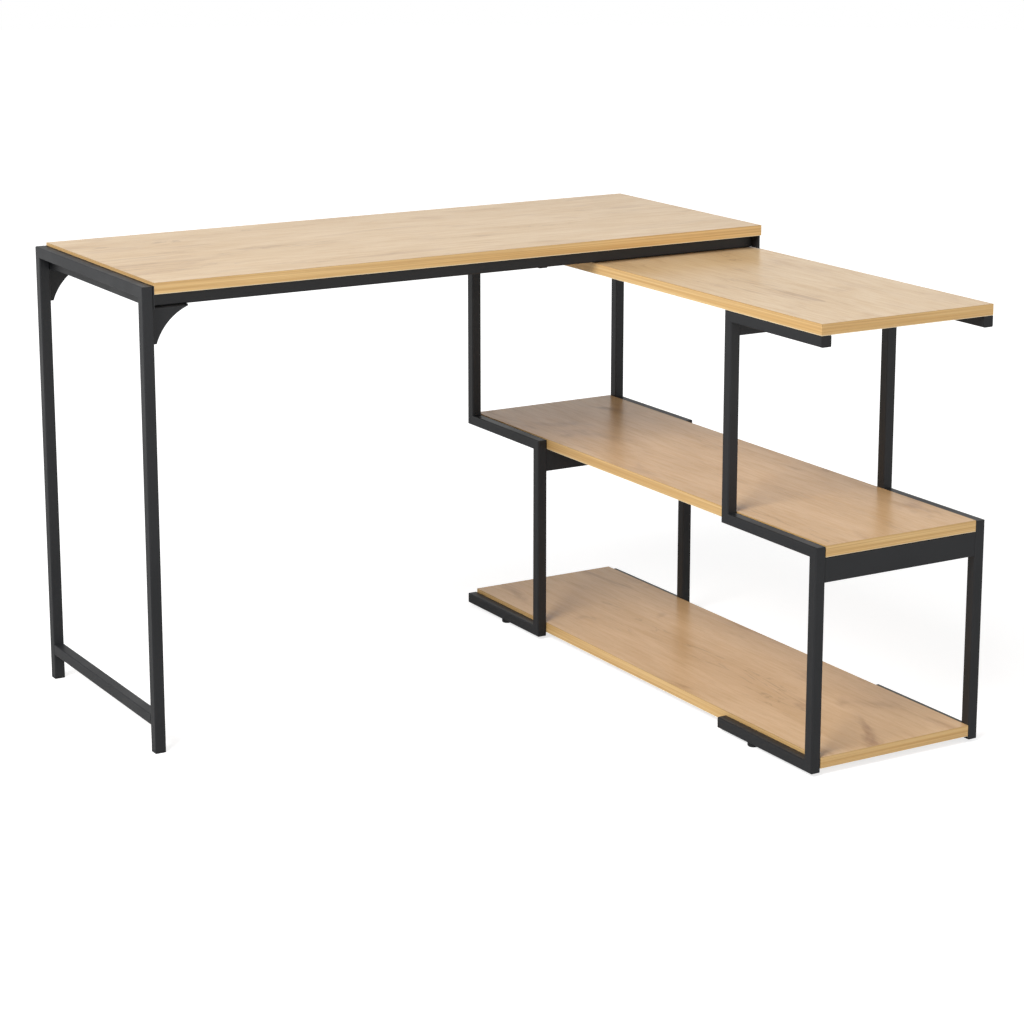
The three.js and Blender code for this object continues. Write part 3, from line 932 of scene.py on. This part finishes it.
@dataclass
class ShelfUnit:
    """Three boards on four step frames, with the fixed side of the pivot."""

    dresser: Dresser
    pairs: tuple[str, ...] = ("front", "back")
    sides: tuple[str, ...] = ("near", "far")
    screws: int = 4
    plate_thickness: float = 0.0025
    plate_flange: float = 0.016
    screw_from_end: float = 0.045

    def dress(self) -> None:
        """Dresses the shelf unit's CAD nodes."""
        self.dresser.board("top_shelf", TOP_SHELF_SHEET)
        self.dresser.board("middle_shelf", MIDDLE_SHELF_SHEET)
        self.dresser.board("bottom_shelf", BOTTOM_SHELF_SHEET)
        for pair in self.pairs:
            for cross_piece in ("top_plate", "middle_plate", "bottom_bar"):
                self.dresser.node(f"{pair}_{cross_piece}", POWDER_COAT)
            for side in self.sides:
                self.dresser.node(f"{side}_{pair}_step_frame", POWDER_COAT)
                for plastic in ("glide", "top_plug", "bottom_plug"):
                    self.dresser.node(f"{side}_{pair}_{plastic}", BLACK_PLASTIC)
        self.dresser.node("backing_plate", POWDER_COAT)
        self.dresser.node("turning_disc", WHITE_NYLON)
        self.dresser.node("pivot_bush", WHITE_NYLON)
        for number in range(1, self.screws + 1):
            self.dresser.node(f"backing_screw_{number}", BRIGHT_ZINC)

    def screw_seats(self) -> list[Vector]:
        """Finds where screws hold the boards.

        Returns:
            The middle of each screw's seat, on the underside of the cross plates' flanges and of the bars.
        """
        seats = []
        for pair in self.pairs:
            for plate in ("top_plate", "middle_plate"):
                low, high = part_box(f"{pair}_{plate}")
                y = high[1] - (self.plate_flange - self.plate_thickness) / 2
                under = high[2] - self.plate_thickness
                seats += [Vector((x, y, under)) for x in self.screw_rows(low[0], high[0])]
            low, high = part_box(f"{pair}_bottom_bar")
            y = (low[1] + high[1]) / 2
            seats += [Vector((x, y, low[2])) for x in self.screw_rows(low[0], high[0])]
        return seats

    def screw_rows(self, left: float, right: float) -> tuple[float, float]:
        """Returns the two places of a cross piece's screws between its ends."""
        return (left + self.screw_from_end, right - self.screw_from_end)

    def fit_screws(self) -> bpy.types.Object:
        """Makes the screws that hold the three boards on their cross pieces.

        Returns:
            The screws as one piece.
        """
        shape = bmesh.new()
        for seat in self.screw_seats():
            PanScrew().added(shape, seat)
        return self.dresser.piece(
            "shelf_board_screws",
            shape,
            BRIGHT_ZINC,
            Slot.ZINC,
            Body.SHELVES,
        )


@dataclass(frozen=True)
class Studio:
    """White studio: a pale floor, an even surround and soft lights at the left, overhead and in front."""

    floor_radius: float = 14.0
    floor_sides: int = 96
    floor_colour: Colour = (0.55, 0.55, 0.55, 1.0)
    floor_glow: Span = (0.74, 0.9)
    floor_shine: Span = (0.0, 0.4)
    glow_radii: Span = (1.2, 3.6)
    surround: float = 0.34
    backdrop_rise: Span = (0.26, 0.44)
    left_place: Triple = (-5.0, -2.3, 5.45)
    left_power: float = 580.0
    overhead_place: Triple = (0.3, -0.6, 4.0)
    overhead_power: float = 10.0
    front_place: Triple = (1.2, -6.0, 2.0)
    front_power: float = 60.0
    light_size: float = 3.6
    target: Triple = (0.0, 0.0, 0.5)

    def build_world(self) -> None:
        """Makes a surround that is white to the eye, mirrored as a white backdrop, and softer as light."""
        world = bpy.data.worlds.new("white studio")
        bpy.context.scene.world = world
        world.use_nodes = True
        graph = Graph(world.node_tree)
        background = world.node_tree.nodes["Background"]
        background.inputs["Color"].default_value = WHITE
        path = graph.node("ShaderNodeLightPath")
        split = graph.node("ShaderNodeSeparateXYZ")
        graph.feed(graph.node("ShaderNodeTexCoord").outputs["Generated"], split.inputs["Vector"])
        backdrop = graph.ranged(split.outputs["Z"], self.backdrop_rise, FALLING)
        mirrored = graph.maths("MULTIPLY", path.outputs["Is Glossy Ray"], backdrop)
        seen = graph.maths("MAXIMUM", path.outputs["Is Camera Ray"], path.outputs["Is Transmission Ray"])
        share = graph.maths("MAXIMUM", seen, mirrored)
        strength = graph.ranged(share, RISING, (self.surround, 1.0))
        graph.feed(strength, background.inputs["Strength"])

    def build_floor(self) -> None:
        """Makes the floor, which keeps the object's soft shadow."""
        shape = bmesh.new()
        bmesh.ops.create_circle(
            shape,
            cap_ends=True,
            segments=self.floor_sides,
            radius=self.floor_radius,
        )
        mesh = bpy.data.meshes.new("studio floor")
        shape.to_mesh(mesh)
        shape.free()
        floor = bpy.data.objects.new("studio floor", mesh)
        bpy.context.collection.objects.link(floor)
        material, graph, shader = new_material("pale studio floor")
        shader.inputs["Base Color"].default_value = self.floor_colour
        shader.inputs["Roughness"].default_value = 1.0
        shader.inputs["Specular IOR Level"].default_value = 0.0
        shader.inputs["Emission Color"].default_value = WHITE
        reach = graph.node("ShaderNodeVectorMath", operation="LENGTH")
        graph.feed(graph.place(), reach.inputs[0])
        glow = graph.ranged(reach.outputs["Value"], self.glow_radii, self.floor_glow)
        shine = graph.ranged(reach.outputs["Value"], self.glow_radii, self.floor_shine)
        path = graph.node("ShaderNodeLightPath")
        seen = graph.maths("MULTIPLY", path.outputs["Is Camera Ray"], glow)
        shone = graph.maths("MAXIMUM", path.outputs["Is Glossy Ray"], path.outputs["Is Transmission Ray"])
        shone = graph.maths("MULTIPLY", shone, shine)
        graph.feed(graph.maths("ADD", seen, shone), shader.inputs["Emission Strength"])
        mesh.materials.append(material)

    def build_light(self, name: str, place: Triple, power: float) -> None:
        """Makes one square soft light that faces the object.

        Args:
            name: The light's name.
            place: Where it stands.
            power: Its power in watts.
        """
        lamp = bpy.data.lights.new(name, "AREA")
        lamp.shape = "SQUARE"
        lamp.size = self.light_size
        lamp.energy = power
        light = bpy.data.objects.new(name, lamp)
        bpy.context.collection.objects.link(light)
        aim = Vector(self.target) - Vector(place)
        light.matrix_world = Matrix.Translation(place) @ aim.to_track_quat("-Z", "Y").to_matrix().to_4x4()

    def build(self) -> None:
        """Builds the studio."""
        self.build_world()
        self.build_floor()
        self.build_light("left softbox", self.left_place, self.left_power)
        self.build_light("overhead softbox", self.overhead_place, self.overhead_power)
        self.build_light("front softbox", self.front_place, self.front_power)


@dataclass(frozen=True)
class StudioCamera:
    """The camera at the photograph's viewing angle, over a frame of 1024 by 1024 pixels."""

    frame_pixels: float = 1024.0
    sensor: float = 36.0
    focal_pixels: float = 2688.8
    shift_pixels: float = -112.0
    yaw: float = 0.53342
    pitch: float = 0.21816
    place: Triple = (-2.13073, -3.65569, 1.4591)

    def build(self) -> None:
        """Makes the camera and hands it to the scene."""
        lens = bpy.data.cameras.new("studio camera")
        lens.sensor_width = self.sensor
        lens.lens = self.focal_pixels / self.frame_pixels * self.sensor
        lens.shift_y = self.shift_pixels / self.frame_pixels
        camera = bpy.data.objects.new("studio camera", lens)
        bpy.context.collection.objects.link(camera)
        camera.matrix_world = (
            Matrix.Translation(self.place)
            @ Matrix.Rotation(-self.yaw, 4, "Z")
            @ Matrix.Rotation(math.pi / 2 - self.pitch, 4, "X")
        )
        bpy.context.scene.camera = camera


def main() -> None:
    """Loads the model, dresses it, adds what the solids leave out and sets up the studio."""
    logging.basicConfig(level=logging.INFO, format="%(message)s")
    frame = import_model()

    StudioCamera().build()
    Studio().build()
    bpy.context.scene.view_settings.view_transform = "Standard"
    log.info("studio: camera, floor, surround and three lights")

    dresser = Dresser(frame["nodes"])
    DeskWing(dresser).dress()
    log.info("desk wing: board, rails, leg frame, gussets and pivot dressed")
    shelves = ShelfUnit(dresser)
    shelves.dress()
    log.info("shelf unit: boards, step frames and plates dressed")
    screws = shelves.fit_screws()
    log.info("%s: %d faces", screws.name, len(screws.data.polygons))
    left_bare = sorted(set(frame["nodes"]) - dresser.dressed)
    log.info("nodes without a finish: %s", ", ".join(left_bare) or "none")


if __name__ == "__main__":
    main()
